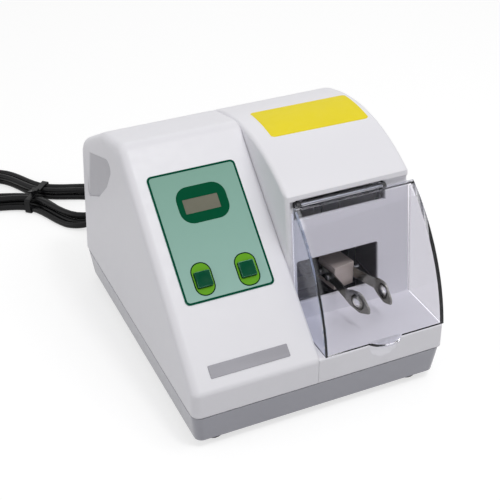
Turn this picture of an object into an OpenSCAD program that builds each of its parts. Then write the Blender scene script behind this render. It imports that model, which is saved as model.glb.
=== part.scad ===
// Dental amalgamator: a bench mixer that shakes a capsule in a spring fork under a clear lid.
// Millimetres. X runs left to right, Y from the front face to the rear, Z up from the bench.

/* [Case] */
// Width of the case at the seam
case_w = 220; // [215:1:232]
// Depth of the case at the seam
case_d = 270; // [266:1:290]
// Wall of the moulded upper housing
wall = 2.8; // [2.2:0.1:3.2]
// Lean of each side wall, as sideways travel for each millimetre of height
draft = 0.021; // [0.01:0.001:0.025]
// Height of the joint between base and housing
seam_z = 33; // [31:0.5:35]
// Shadow gap between base and housing
seam_gap = 0.8; // [0.5:0.1:1.2]
// Edge radius of the outer sides of the housing
edge_r = 7; // [5:0.5:8]
// Plan radius of the front corners of the base
front_r = 8; // [7:0.5:10]
// Plan radius of the rear corners of the base
rear_r = 12; // [10:1:14]

/* [Control face] */
// Angle of the sloping control face
slope_a = 41.5; // [40:0.5:42]
// Length of the green panel up the slope
panel_l = 107; // [104:1:110]
// Width of the green panel
panel_w = 75; // [72:1:78]
// Thickness of the printed panel
panel_t = 0.6; // [0.4:0.1:1]
// Side of a square push button
button_w = 12.6; // [11:0.2:13.4]
// Travel of a push button
button_travel = 1; // [0.6:0.1:1.2]
// Height of a button above the panel
button_h = 2.6; // [2:0.1:3.2]

/* [Chamber] */
// Height of the chamber floor
floor_z = 56.7; // [56:0.1:58]
// X of the wall between control face and chamber
step_x = -3.4; // [-6:0.2:0]
// Width of the fork window in the back wall
window_w = 71.4; // [68:0.2:74]
// Height of the fork window
window_h = 37.6; // [35:0.2:40]
// Width of the hinge slot
slot_w = 79.7; // [76:0.1:82]
// Height of the hinge slot
slot_h = 17.2; // [16:0.2:18]
// Radius of the finger scoop in the front lip
scoop_r = 15.5; // [14:0.5:17]

/* [Clear cover] */
// Thickness of the clear cover
cover_t = 2.5; // [2:0.1:3]
// Outer radius of the curved front sheet
cover_r = 156.2; // [155:0.1:158]
// Radius of the hinge barrel
barrel_r = 4; // [3.6:0.1:4.2]
// Radius of the hinge pin
pin_r = 1.5; // [1.2:0.1:1.8]
// Length of the tongue behind the hinge
tongue_l = 7; // [6:0.5:8]
// Reach of the pull tab in front of the cover
tab_l = 7.5; // [6:0.5:9]

/* [Drive] */
// Outer radius of the motor
motor_r = 32; // [28:1:34]
// Length of the motor
motor_l = 70; // [60:1:72]
// Radius of the motor shaft
shaft_r = 4; // [3.5:0.1:4.4]
// Radius of the skewed ball on the shaft
ball_r = 12; // [11:0.5:13]
// Largest yaw of the fork each way, where it stands at rest
swing_a = 9.7; // [7:0.1:10]

/* [Capsule fork] */
// Width of the fork block
block_w = 19.5; // [18:0.5:22]
// Height of the fork block
block_h = 21; // [18:0.5:22]
// Thickness of a fork blade
blade_t = 1.2; // [1:0.1:1.5]
// Height of a fork blade
blade_h = 9.5; // [8:0.5:11]
// Height of the leaf-shaped jaw
leaf_h = 17; // [15:0.5:19]
// Length of the leaf-shaped jaw
leaf_l = 25; // [23:0.5:27]

/* [Feet and fasteners] */
// Height of a rubber foot below the base
foot_h = 7; // [6:0.5:8]
// Radius of a rubber foot
foot_r = 9.8; // [8:0.2:11]
// Radius of the shank of a case screw
screw_r = 2; // [1.6:0.1:2.2]

/* [Mains lead] */
// Diameter of the mains cord
cord_d = 6.4; // [6:0.1:6.6]
// Radius of the strain relief at the wall
relief_r = 6; // [5.4:0.1:6.5]
// Length of the strain relief outside the wall
relief_l = 38; // [34:1:42]

/* [Hidden] */

fit = 0.3;             // gap between parts that only lie near each other
run_fit = 0.05;        // running clearance of a shaft in its hole
half_w = case_w / 2;
shell_z = seam_z + seam_gap;
below = shell_z - 14;  // housing forms start here and are cut off at the seam

// Side profile of the control side, as points (y, z) on sharp corners
slope_y = 154;
lip_z = floor_z - 0.7;
ridge = [slope_y, lip_z + slope_y * tan(slope_a)];
brow = [203, 180.6];
crown_back = [case_d - 8, 146.5];
grip_y = case_d - 24;  // rear end of the side grips
rear_lean = 3;
function rear_y(z) = case_d - (z - shell_z) * tan(rear_lean);

// Hood profile and leaning back wall of the chamber
hood_c = [148, 41.2];
hood_r = 149;
back_y = 52.9;
back_lean = 7.3;
function wall_y(z) = back_y + (z - floor_z) * tan(back_lean);
hood_front = 66.5;
hood_top = 186;

// Clear cover
cover_c = [154, 32.8];
cover_x0 = 1;
cover_x1 = half_w - 1.4;
chamber_x = (step_x + half_w) / 2 + 1.2;
cover_gap = 0.6;
hinge_rim = 63.5;
rim = [hinge_rim, cover_c.y + sqrt(pow(cover_r, 2) - pow(cover_c.x - hinge_rim, 2))];
hinge = rim - barrel_r * (rim - cover_c) / cover_r;
cover_low = floor_z + cover_gap;
tab_y = cover_c.x - sqrt(pow(cover_r, 2) - pow(cover_low - cover_c.y, 2)) - tab_l;
cove_r = barrel_r + 0.7;
slot_x = 5;
slot_z = hinge.y - 12;
tongue_x = [14, 75];
switch_x = 44;
block_t = 3;
barrel_x = [slot_x + block_t + 0.7, slot_x + slot_w - block_t - 0.7];

// Fork window
window_x = 6;
window_z = 72;

// Feet and case screws
foot_x = half_w - 22;
foot_y = [18, case_d - 45];
feet = [for (x = [-foot_x, foot_x], y = foot_y) [x, y]];
foot_seat = 1;
post_r = 5;

// Panel, display and buttons, placed up the slope from the lip
panel_x = (step_x - half_w) / 2 + 0.8;
panel_s = 121.5;
display_s = 144.5;
display = [30, 12.4];
bezel = [42, 30.5];
button_x = [panel_x - 18.1, panel_x + 18.6];
button_s = [85.4, 84.8];
button_fit = 0.25;
flange = 1.6;
board_n = 8.4;
board_t = 1.6;
board = [80, 100];
board_s = 116;

// Drive
axis = [window_x + window_w / 2, 105, 82];
motor_x1 = -6;
cap_t = 7;
plate_z = 23;
plate_t = 5;
frame_y = [76, 134];
upright_t = 8;
upright_x = [0, 66];
bearing_r = 11;
bearing_w = 7;
hub_r = 20;
hub_w = 16;
ring_r = 16;
ring_w = 12;
tail_l = 34;
block_y0 = 22;
block_y1 = 43.6;
relief_d = 1.1;
neck = [14, 66];
leaf_a = 8;
dish_r = 6.5;
dish_d = 2.2;
jaw_hole_r = 3;

// Mains lead: route points chosen by hand, along the bench and behind the case
cord_r = cord_d / 2;
relief_x = -45;
relief_z = 46;
relief_end = case_d - 2 + relief_l;

// Outlines with round corners
function unit(v) = v / norm(v);
function turn(a) = a > 180 ? a - 360 : a < -180 ? a + 360 : a;
function corner(a, b, c, r, n) =
  let (u = unit(a - b), v = unit(c - b), h = acos(u * v) / 2, o = b + unit(u + v) * r / sin(h),
    s = b + u * r / tan(h) - o, e = b + v * r / tan(h) - o, a0 = atan2(s.y, s.x),
    da = turn(atan2(e.y, e.x) - a0))
  [for (i = [0:n]) o + r * [cos(a0 + da * i / n), sin(a0 + da * i / n)]];
function rounded(p, r, n = 6) =
  [for (i = [0:len(p) - 1]) let (k = len(p)) each (r[i] == 0 ? [p[i]]
    : corner(p[(i + k - 1) % k], p[i], p[(i + 1) % k], r[i], n))];
function arc(c, r, y0, y1, n) =
  let (a0 = acos((y0 - c.x) / r), a1 = acos((y1 - c.x) / r))
  [for (i = [0:n]) c + r * [cos(a0 + (a1 - a0) * i / n), sin(a0 + (a1 - a0) * i / n)]];
module box2(w, h, r) { polygon(rounded([[-w / 2, -h / 2], [w / 2, -h / 2], [w / 2, h / 2], [-w / 2, h / 2]],
  [r, r, r, r], 5)); }

// Turns a (y, z) outline into a slab that runs along X from x0 to x1
module along_x(x0, x1) { translate([x0, 0, 0]) rotate([90, 0, 90]) linear_extrude(x1 - x0) children(); }
// Frames on the sloping face and on the rear wall, with local Z pointing out of the face
module on_slope(x, s) { translate([x, 0, lip_z]) rotate([slope_a, 0, 0]) translate([0, s, 0]) children(); }
module on_rear(x, z) { translate([x, rear_y(z), z]) rotate([rear_lean - 90, 0, 0]) children(); }
// Frame of the fork, with local -Y pointing forward out of the hub
module on_fork() { translate(axis) rotate([0, 0, swing_a]) children(); }

// Sharp corners moved inward by d
function inward(p, d) = [for (i = [0:len(p) - 1]) let (k = len(p), u = unit(p[i] - p[(i + k - 1) % k]),
  v = unit(p[(i + 1) % k] - p[i]), n = [-u.y, u.x], m = [-v.y, v.x]) p[i] + d * (n + m) / (1 + n * m)];

// A convex form with (y, z) corners p and corner radii q: its sides lean with the draft and have round edges.
// It is the hull of flat rings, each one drawn in a little more towards the side faces.
function ring(p, q, x, d, lean, n) = [for (c = rounded(inward(p, d), [for (r = q) r > 0 ? max(r - d, 0.6) : 0], n))
  [x + lean * (c.y - shell_z), c.x, c.y]];
module form(p, q, x0, x1, r0, r1, lean0, lean1, inset = 0, steps = 4, n = 5) {
  rings = [for (k = [0:steps]) let (s = 1 - sin(90 * k / steps), c = 1 - cos(90 * k / steps)) each [
    ring(p, q, x0 + r0 * s, inset + r0 * c, lean0, n), ring(p, q, x1 - r1 * s, inset + r1 * c, lean1, n)]];
  m = len(rings[0]);
  hull() polyhedron([for (r = rings) each r], [for (i = [0:len(rings) - 1]) [for (k = [0:m - 1]) i * m + k]]);
}

control_corners = [[0, below], [rear_y(below), below], crown_back, brow, ridge, [0, lip_z]];
control_radii = [0, 0, 22, 60, 14, 6];
hood_corners = concat([[wall_y(below), below], [rear_y(below), below], crown_back, brow],
  arc(hood_c, hood_r, hood_top, hood_front, 16));
hood_radii = [for (i = [0:len(hood_corners) - 1]) i == 2 ? 23 : i == 3 ? 60 : 0];

module control_form(inset, x1, r1, lean1 = 0) {
  form(control_corners, control_radii, -half_w + inset, x1, max(edge_r - inset, 0.5), r1, draft, lean1, inset,
    inset > 0 ? 1 : 5, inset > 0 ? 2 : 6);
}
module hood_form(inset) {
  form(hood_corners, hood_radii, step_x + inset, half_w - inset, 3.5 - min(inset, 3),
    max(edge_r - 3 - inset, 0.5), 0, -draft, inset, inset > 0 ? 1 : 4, inset > 0 ? 2 : 7);
}
// Everything behind the chamber's back wall, moved back by d
module behind(d) {
  along_x(-case_w, case_w) polygon([[wall_y(0) + d, 0], [case_d * 1.2, 0], [case_d * 1.2, 250], [wall_y(250) + d, 250]]);
}

// The low front of the chamber, cut flat at its floor
low_corners = [[0, below], [90, below], [90, floor_z + 40], [40, floor_z + 38.8], [0, floor_z - 1.2]];
// The outside: control side, low chamber front and hood. They overlap, so no faces only touch.
module outside() {
  control_form(0, step_x + 0.4, 2.5);
  intersection() {
    form(low_corners, [0, 0, 0, 0, 1.2], step_x - 1, half_w - 0.04, 0, edge_r - 3, 0, -draft, 0, 4, 3);
    translate([-case_w, -10, 0]) cube([2 * case_w, case_d, floor_z]);
  }
  hood_form(0);
}
module cavity() {
  control_form(wall, step_x + 0.4 - wall, 0.5);
  hood_form(wall);
  translate([step_x - 5, wall + 1.8, 0]) cube([half_w - wall - 0.8 - step_x + 5, 76, floor_z - wall - 0.3]);
  // opening between the control side and the hood, for the motor and the arm
  along_x(step_x - 10, step_x + 12)
    polygon([[61, 20], [case_d - 8, 20], [case_d - 12, 138], [200, 172], [158, 180], [73, 108]]);
}

module hand_grip(side) {
  // shallow side recess, deepest at its front end and running out towards the rear
  outline = rounded([[0, 98], [0, 143], [-61, 164.5], [-72, 160], [-56, 136], [-32, 114]], [3, 3, 9, 6, 14, 20], 5);
  mirror([side > 0 ? 1 : 0, 0, 0]) translate([-half_w, grip_y, 0]) intersection() {
    along_x(-5, 20) polygon(outline);
    linear_extrude(200) polygon([[-6, -86], [9, -74], [1.5, 4], [-6, 4]]);
  }
}

module rear_openings() {
  on_rear(70, 62) translate([0, 0, -6]) linear_extrude(12) box2(switch_w + fit, switch_h + fit, 1);
  on_rear(18, 58) translate([0, 0, -6]) cylinder(r = fuse_r + fit / 2, h = 12, $fn = 40);
  translate([relief_x, case_d - 15, relief_z]) rotate([-90, 0, 0]) cylinder(r = relief_r, h = 30, $fn = 40);
}
switch_w = 19.4;
switch_h = 27;
fuse_r = 6.4;

module front_openings() {
  // fork window, hinge slot and the cove that the cover's rim turns in
  translate([window_x, 40, window_z]) rotate([90, 0, 180]) mirror([1, 0, 0]) linear_extrude(36)
    polygon(rounded([[0, 0], [window_w, 0], [window_w, window_h], [0, window_h]], [2, 2, 2, 2], 4));
  translate([slot_x, 50, slot_z]) cube([slot_w, 30, slot_h]);
  along_x(cover_x0 - 0.6, half_w + 5) translate(hinge) circle(r = cove_r, $fn = 40);
}

module slope_openings() {
  on_slope(panel_x, display_s) translate([0, 0, -8]) linear_extrude(16) box2(36, 19, 1.5);
  for (i = [0, 1]) on_slope(button_x[i], button_s[i]) translate([0, 0, -8])
    linear_extrude(16) box2(button_w + 2 * button_fit, button_w + 2 * button_fit, 1);
}

module board_posts() {
  for (x = [-1, 1], s = [-1, 1]) on_slope(panel_x + x * (board.x / 2 - 4), board_s + s * (board.y / 2 - 4))
    difference() {
      translate([0, 0, -board_n]) cylinder(r = 3.2, h = board_n - 1, $fn = 24);
      translate([0, 0, -board_n - 1]) cylinder(r = 1.2, h = board_n - 1, $fn = 16);
    }
}

module scoop() {
  depth = 4;
  r = (pow(scoop_r, 2) + pow(depth, 2)) / (2 * depth);
  translate([chamber_x, depth - r, floor_z]) sphere(r = r, $fn = 96);
}

// Thicker skin behind the scoop, the cove and the side grips, and the posts. All of it starts inside the skin.
module ribs() {
  for (p = feet) difference() {
    translate([p.x, p.y, shell_z]) cylinder(r = post_r, h = p.y > 100 ? 34 : p.x < 0 ? 50 : floor_z - 1.4 - shell_z, $fn = 32);
    on_slope(p.x, 0) translate([-20, -20, -1.5]) cube([40, 80, 60]);
  }
  for (x = [-half_w + 2, foot_x]) translate([x, foot_y[1] - 1.2, shell_z]) cube([half_w - 2 - foot_x, 2.4, 30]);
  board_posts();
  translate([chamber_x - scoop_r - 3, 1.5, shell_z]) cube([2 * scoop_r + 6, 6.5, floor_z - shell_z - 1.3]);
  intersection() {
    along_x(step_x + 2.6, half_w - 5.1) translate(hinge) circle(r = cove_r + 2.4, $fn = 40);
    behind(1);
  }
  for (s = [-1, 1]) mirror([s > 0 ? 1 : 0, 0, 0]) hull() {
    along_x(-half_w + 3.5, -half_w + 12) translate([grip_y - 63, 150]) circle(r = 14, $fn = 24);
    along_x(-half_w + 3.5, -half_w + 7) translate([grip_y - 14, 121]) circle(r = 22, $fn = 24);
  }
}

module upper_housing() color("white") difference() {
  union() {
    difference() {
      outside();
      cavity();
      translate([-case_w, -50, 0]) cube([2 * case_w, 2 * case_d, shell_z]);
    }
    ribs();
  }
  front_openings();
  slope_openings();
  scoop();
  hand_grip(-1);
  hand_grip(1);
  rear_openings();
  for (p = feet) translate([p.x, p.y, shell_z - 1]) cylinder(r = screw_r, h = 17, $fn = 24);
}

// Plan outline of the base, drawn in by d all round
module plan(d) {
  translate([0, case_d / 2]) polygon(rounded([[-half_w + d, -case_d / 2 + d], [half_w - d, -case_d / 2 + d],
    [half_w - d, case_d / 2 - d], [-half_w + d, case_d / 2 - d]],
    [front_r - d / 2, front_r - d / 2, rear_r - d / 2, rear_r - d / 2], 6));
}
module slice(z, d, h = 0.02) { translate([0, 0, z]) linear_extrude(h) plan(d); }

module base_tray() color([0.55, 0.55, 0.6]) difference() {
  base_w = 2.6;
  floor_t = 3;
  union() {
    difference() {
      hull() {
        slice(foot_h, 4.6);
        slice(foot_h + 1, 3.3);
        slice(seam_z - 0.02, 0);
      }
      hull() {
        slice(foot_h + floor_t, 3.3 + base_w);
        slice(seam_z + 1, base_w);
      }
    }
    // inner rim that the housing stands on, set back to leave the shadow line
    difference() {
      slice(seam_z - 3, base_w - 1.2, 3 + seam_gap);
      slice(seam_z - 4, base_w + 1, 6 + seam_gap);
    }
    for (p = feet) translate([p.x, p.y, foot_h + 1]) cylinder(r = post_r, h = shell_z - foot_h - 1, $fn = 32);
    for (p = isolators) translate([p.x, p.y, foot_h + 1]) cylinder(r = 7, h = floor_t + 1, $fn = 32);
  }
  for (p = feet) {
    translate([p.x, p.y, foot_h - 1]) cylinder(r = foot_r + 0.2, h = 1 + foot_seat, $fn = 48);
    translate([p.x, p.y, 0]) cylinder(r = screw_r + 0.2, h = shell_z + 1, $fn = 24);
  }
  // cooling slots below the motor and the boards
  for (x = [-48, 32], i = [-3:3]) translate([x, 118 + i * 9, 0]) linear_extrude(20) box2(44, 3, 1.4);
}

module rubber_feet() color([0.16, 0.16, 0.17]) for (p = feet) translate([p.x, p.y, 0]) rotate_extrude($fn = 48)
  polygon(concat([[screw_r + 0.2, 4], [4.6, 4], [4.6, 0]],
    rounded([[4.6, 0], [foot_r - 1.4, 0], [foot_r, foot_h], [foot_r, foot_h + foot_seat], [4.6, foot_h + foot_seat]],
      [0, 1.2, 0, 0, 0], 4), [[screw_r + 0.2, foot_h + foot_seat]]));

module case_screws() color("silver") for (p = feet) translate([p.x, p.y, 0]) {
  difference() {
    translate([0, 0, 1.4]) cylinder(r = 3.8, h = 2.6, $fn = 32);
    for (a = [0, 90]) rotate(a) translate([-0.5, -2.4, 1]) cube([1, 4.8, 1.8]);
  }
  translate([0, 0, 3.9]) cylinder(r = screw_r - 0.02, h = shell_z + 11, $fn = 24);
}

module membrane_panel() color([0.5, 0.72, 0.62]) on_slope(panel_x, panel_s) translate([0, 0, 0.02]) difference() {
  linear_extrude(panel_t) box2(panel_w, panel_l, 4);
  translate([0, display_s - panel_s, -1]) linear_extrude(3) box2(display.x + 0.2, display.y + 0.2, 0.6);
  for (i = [0, 1]) translate([button_x[i] - panel_x, button_s[i] - panel_s, -1]) linear_extrude(3)
    box2(button_w + 2 * button_fit, button_w + 2 * button_fit, 1);
}

module display_window() color([0.5, 0.48, 0.42]) on_slope(panel_x, display_s)
  translate([0, 0, 0.02]) linear_extrude(panel_t - 0.1) box2(display.x, display.y, 0.5);

module lcd_module() color([0.3, 0.32, 0.3]) on_slope(panel_x, display_s) {
  difference() {
    translate([0, 0, -board_n + 0.02]) linear_extrude(board_n - 0.32) box2(35, 18, 0.8);
    translate([0, 0, -1.3]) linear_extrude(2) box2(display.x + 1, display.y + 1, 0.6);
  }
  translate([0, 0, -1.4]) linear_extrude(0.8) box2(display.x + 0.8, display.y + 0.8, 0.6);
}

module control_board() color([0.1, 0.42, 0.2]) on_slope(panel_x, board_s) difference() {
  translate([0, 0, -board_n - board_t]) linear_extrude(board_t) box2(board.x, board.y, 2);
  for (x = [-1, 1], s = [-1, 1]) translate([x * (board.x / 2 - 4), s * (board.y / 2 - 4), -20])
    cylinder(r = 1.6, h = 30, $fn = 20);
}

module board_screws() color("silver")
  for (x = [-1, 1], s = [-1, 1]) on_slope(panel_x + x * (board.x / 2 - 4), board_s + s * (board.y / 2 - 4)) {
    translate([0, 0, -board_n - board_t - 1.8]) cylinder(r = 2.8, h = 1.8, $fn = 24);
    translate([0, 0, -board_n - board_t - 0.1]) cylinder(r = 1.18, h = board_n + board_t + 0.1 - wall - fit, $fn = 16);
  }

module tact_switches() color([0.12, 0.12, 0.13]) for (i = [0, 1]) on_slope(button_x[i], button_s[i]) {
  translate([-3, -3, -board_n + 0.02]) cube([6, 6, 1.6]);
  translate([0, 0, -board_n + 1.5]) cylinder(r = 1.7, h = 0.6, $fn = 24);
}

module push_button(i) {
  bottom = -wall - flange - fit;
  on_slope(button_x[i], button_s[i]) {
    difference() {
      translate([0, 0, bottom + flange]) linear_extrude(panel_t + button_h - bottom - flange)
        box2(button_w, button_w, 0.9);
      translate([0, 0, panel_t + button_h + 22.4]) sphere(r = 23, $fn = 80);
    }
    translate([0, 0, bottom]) linear_extrude(flange + 0.01) box2(button_w + 3, button_w + 3, 1);
    translate([0, 0, -board_n + 2.1 + button_travel + 0.05]) cylinder(r = 2.2,
      h = board_n + bottom - 2.1 - button_travel, $fn = 24);
  }
}
module set_button() color([0, 0.4, 0.24]) push_button(0);
module start_button() color([0, 0.4, 0.24]) push_button(1);

// Closed outline of the cover seen from the side, drawn in by d along its curve
module cover_side(d) {
  intersection() {
    translate(cover_c) circle(r = cover_r - d, $fn = 240);
    polygon([[-5, floor_z + cover_gap], [wall_y(floor_z) - 1, floor_z + cover_gap],
      [wall_y(hinge.y) - 1.4, hinge.y - 1], [hinge.x, hinge.y], rim + [0, 0.01], rim + [-6, 8], [-5, 120]]);
  }
}

module clear_cover() color([0.8, 0.88, 0.95, 0.4]) difference() {
  union() {
    difference() {
      along_x(cover_x0, cover_x1) cover_side(0);
      difference() {
        along_x(cover_x0 + cover_t, cover_x1 - cover_t) translate([-1, -1]) square([120, 220]);
        along_x(cover_x0, cover_x1) difference() {
          cover_side(0);
          cover_side(cover_t);
        }
      }
    }
    along_x(barrel_x[0], barrel_x[1]) translate(hinge) circle(r = barrel_r, $fn = 48);
    // tongue that works the interlock switch
    along_x(tongue_x[0], tongue_x[1]) translate(hinge) difference() {
      translate([0, -barrel_r]) polygon(rounded([[0, 0], [barrel_r + tongue_l, 3], [barrel_r + tongue_l, 5.2], [0, 3]],
        [0, 1, 1, 0], 4));
      circle(r = barrel_r - 0.5, $fn = 40);
    }
    // crescent pull tab
    r = (pow(scoop_r - 0.5, 2) + pow(tab_l, 2)) / (2 * tab_l);
    intersection() {
      translate([chamber_x, tab_y + r, floor_z + cover_gap]) cylinder(r = r, h = cover_t, $fn = 96);
      translate([chamber_x - 2 * scoop_r, tab_y - 10, 0]) cube([4 * scoop_r, tab_l + 11.8, 100]);
    }
  }
  along_x(0, 110) translate(hinge) circle(r = pin_r + run_fit, $fn = 32);
  // room for the pin blocks beside the barrel
  for (x = [cover_x0 - 1, barrel_x[1]]) translate([x, hinge.x, hinge.y]) rotate([0, 90, 0])
    cylinder(r = barrel_r + 0.4, h = x > 50 ? 40 : barrel_x[0] - cover_x0 + 1, $fn = 40);
}

module hinge_pin() color("silver") along_x(slot_x + 0.4, slot_x + slot_w - 0.4) translate(hinge)
  circle(r = pin_r, $fn = 32);

// Carriers for the pin: an eye, an arm back through the slot and a foot on the inside of the back wall
module hinge_blocks() color([0.85, 0.85, 0.86]) {
  foot_lo = hinge.y - 28.8;
  foot_hi = hinge.y - 15.8;
  for (x = [slot_x + fit, slot_x + slot_w - fit - block_t]) along_x(x, x + block_t) difference() {
    union() {
      translate(hinge) circle(r = barrel_r - 0.4, $fn = 40);
      translate([hinge.x, hinge.y - 3.4]) square([12, 6]);
      polygon([[hinge.x + 5, hinge.y - 3], [hinge.x + 12, hinge.y - 3], [wall_y(foot_lo) + 9, foot_lo],
        [inner_y(foot_lo), foot_lo], [inner_y(foot_hi), foot_hi], [hinge.x + 5, hinge.y - 9.8]]);
    }
    translate(hinge) circle(r = pin_r + 0.02, $fn = 32);
  }
}
// Y of the inside of the back wall, with a hair of room
function inner_y(z) = wall_y(z) + wall / cos(back_lean) + 0.05;

module cover_switch() color([0.15, 0.15, 0.17]) {
  y0 = hinge.x + barrel_r + tongue_l + 2.2;
  z0 = hinge.y - 6;
  difference() {
    translate([switch_x - 10, y0, z0]) cube([20, 6.4, 10.4]);
    for (x = [-5, 5]) translate([switch_x + x, y0 - 1, z0 + 3]) rotate([-90, 0, 0]) cylinder(r = 1.1, h = 9, $fn = 16);
  }
  // button that the tongue of the closed cover holds down
  translate([switch_x, y0 - 1.9, z0 + 7]) rotate([-90, 0, 0]) cylinder(r = 1, h = 2.4, $fn = 20);
  lo = hinge.y - 24.8;
  along_x(switch_x - 8, switch_x + 8) polygon([[y0 + 1, z0 + 0.5], [y0 + 3, z0 + 0.5], [y0 + 3, lo], [inner_y(lo), lo],
    [inner_y(lo + 2), lo + 2], [y0 + 1, lo + 2]]);
}

isolators = [for (x = [-8, 72], y = [84, 126]) [x, y]];
iso_z = foot_h + 5;
module frame_isolators() color([0.1, 0.1, 0.1]) for (p = isolators) translate([p.x, p.y, iso_z])
  rotate_extrude($fn = 32) polygon(rounded([[0, 0], [6.5, 0], [4.6, (plate_z - iso_z) / 2], [6.5, plate_z - iso_z],
    [0, plate_z - iso_z]], [0, 0.6, 3, 0.6, 0], 3));

module upright(x, top_r) along_x(x, x + upright_t) difference() {
  hull() {
    translate([axis.y, axis.z]) circle(r = top_r, $fn = 48);
    translate([frame_y[0] + 6, plate_z + 1]) square([frame_y[1] - frame_y[0] - 12, 1]);
  }
  translate([axis.y, 42]) box2(20, 14, 4);
}

module drive_frame() color([0.12, 0.12, 0.13]) difference() {
  union() {
    translate([-16, frame_y[0], plate_z]) cube([96, frame_y[1] - frame_y[0], plate_t]);
    for (x = upright_x) upright(x, 19);
  }
  for (x = upright_x) {
    translate([x - 1, axis.y, axis.z]) rotate([0, 90, 0]) cylinder(r = shaft_r + 3, h = upright_t + 2, $fn = 32);
    translate([x + 1, axis.y, axis.z]) rotate([0, 90, 0]) cylinder(r = bearing_r, h = bearing_w + 1, $fn = 48);
  }
  translate([20, 90, plate_z - 1]) cube([38, 30, plate_t + 2]);
}

module shaft_bearings() color("silver") for (x = upright_x) translate([x + 1, axis.y, axis.z]) rotate([0, 90, 0])
  difference() {
    cylinder(r = bearing_r - 0.01, h = bearing_w, $fn = 48);
    translate([0, 0, -1]) cylinder(r = shaft_r + run_fit, h = bearing_w + 2, $fn = 32);
    for (z = [-1, bearing_w - 0.6]) translate([0, 0, z]) difference() {
      cylinder(r = bearing_r - 2.2, h = 1.6, $fn = 40);
      cylinder(r = shaft_r + 2, h = 1.6, $fn = 32);
    }
  }

module motor_stator() color([0.5, 0.5, 0.52]) difference() {
  along_x(motor_x1 - motor_l, motor_x1) translate([axis.y, axis.z]) circle(r = motor_r, $fn = 64);
  along_x(motor_x1 - motor_l - 1, motor_x1 + 1) translate([axis.y, axis.z]) circle(r = motor_r - 9, $fn = 48);
  // cooling flutes along the can
  for (a = [0:20:340]) translate([motor_x1 - motor_l + 14, axis.y, axis.z]) rotate([a, 0, 0])
    translate([0, motor_r - 1, -1.5]) cube([motor_l - 28, 3, 3]);
}

module motor_end_caps() color([0.2, 0.2, 0.22]) for (x = [motor_x1 - motor_l - cap_t, motor_x1])
  difference() {
    along_x(x, x + (x < -50 ? cap_t : -motor_x1)) translate([axis.y, axis.z]) circle(r = motor_r + 1, $fn = 64);
    along_x(x - 1, x + 9) translate([axis.y, axis.z]) circle(r = shaft_r + run_fit, $fn = 32);
  }

module motor_rotor() color([0.55, 0.4, 0.25]) difference() {
  along_x(motor_x1 - motor_l + 10, motor_x1 - 10) translate([axis.y, axis.z]) circle(r = motor_r - 9.8, $fn = 48);
  along_x(motor_x1 - motor_l, motor_x1) translate([axis.y, axis.z]) circle(r = shaft_r, $fn = 32);
}

module motor_shaft() color("silver") along_x(motor_x1 - motor_l - cap_t - 4, upright_x[1] + upright_t + 3)
  translate([axis.y, axis.z]) circle(r = shaft_r, $fn = 32);

module skew_ball() color([0.6, 0.6, 0.62]) translate(axis) rotate([0, 90, 0]) rotate_extrude($fn = 64)
  polygon(concat([for (i = [-7:7]) let (z = 8 * i / 7) [sqrt(pow(ball_r, 2) - z * z), z]], [[shaft_r, 8], [shaft_r, -8]]));

module arm_bearing() color("silver") on_fork() rotate([0, 90, 0]) rotate_extrude($fn = 64) polygon(concat(
  [[ring_r - 0.01, -ring_w / 2], [ring_r - 0.01, ring_w / 2]],
  [for (i = [6:-1:-6]) [sqrt(pow(ball_r + run_fit, 2) - pow(ring_w * i / 12, 2)), ring_w * i / 12]]));

module swing_arm() color([0.45, 0.42, 0.4]) on_fork() difference() {
  union() {
    along_x(-hub_w / 2, hub_w / 2) circle(r = hub_r, $fn = 64);
    translate([-7, -block_y0, -7]) cube([14, block_y0 - 12, 14]);
    translate([-6, 12, -3]) cube([12, tail_l - 12, 6]);
  }
  along_x(-hub_w, hub_w) circle(r = ring_r, $fn = 64);
}

module arm_guide() color([0.85, 0.83, 0.76]) translate([0, frame_y[1] - 8, 0]) difference() {
  translate([axis.x - 18.5, 0, plate_z + plate_t]) cube([37, 8, axis.z + 9 - plate_z - plate_t]);
  translate([axis.x - 13, -1, axis.z - 3 - fit]) cube([26, 10, 6 + 2 * fit]);
  translate([axis.x - 10, -1, plate_z + plate_t + 8]) cube([20, 10, 30]);
}

module fork_block() color([0.62, 0.56, 0.52]) on_fork() difference() {
  translate([-block_w / 2, -block_y1, -block_h / 2]) cube([block_w, block_y1 - block_y0, block_h]);
  // relief that the clamped end of each blade can bend into
  for (s = [-1, 1]) translate([s * block_w / 2 - relief_d, -block_y1 + 2, -blade_h / 2 - 0.8])
    cube([2 * relief_d, 30, blade_h + 1.6]);
  for (y = fork_screw_y) translate([-block_w, -y, 0]) rotate([0, 90, 0])
    cylinder(r = fork_screw_r + 0.05, h = 2 * block_w, $fn = 24);
}
fork_screw_r = 1.5;
fork_screw_y = [38.6, 28.6];
blade_back = 24.6;
blade_gap = 0.12;

// One blade of the fork; s is -1 on the left and 1 on the right
module fork_blade(s) on_fork() mirror([s < 0 ? 1 : 0, 0, 0]) {
  x0 = block_w / 2 + blade_gap;
  difference() {
    translate([0, 0, -blade_h / 2]) linear_extrude(blade_h) polygon([[x0, -blade_back], [x0 + blade_t, -blade_back],
      [x0 + blade_t, -block_y1 - 0.6], [neck.x + blade_t, -neck.y], [neck.x + blade_t - 0.3, -neck.y - 2],
      [neck.x - 0.3, -neck.y - 2], [neck.x, -neck.y], [x0, -block_y1 - 0.4]]);
    for (y = fork_screw_y) translate([0, -y, 0]) rotate([0, 90, 0])
      cylinder(r = fork_screw_r + 0.7, h = 30, $fn = 24);
  }
  translate([neck.x, -neck.y, 0]) rotate([0, 0, -leaf_a]) jaw();
}

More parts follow.
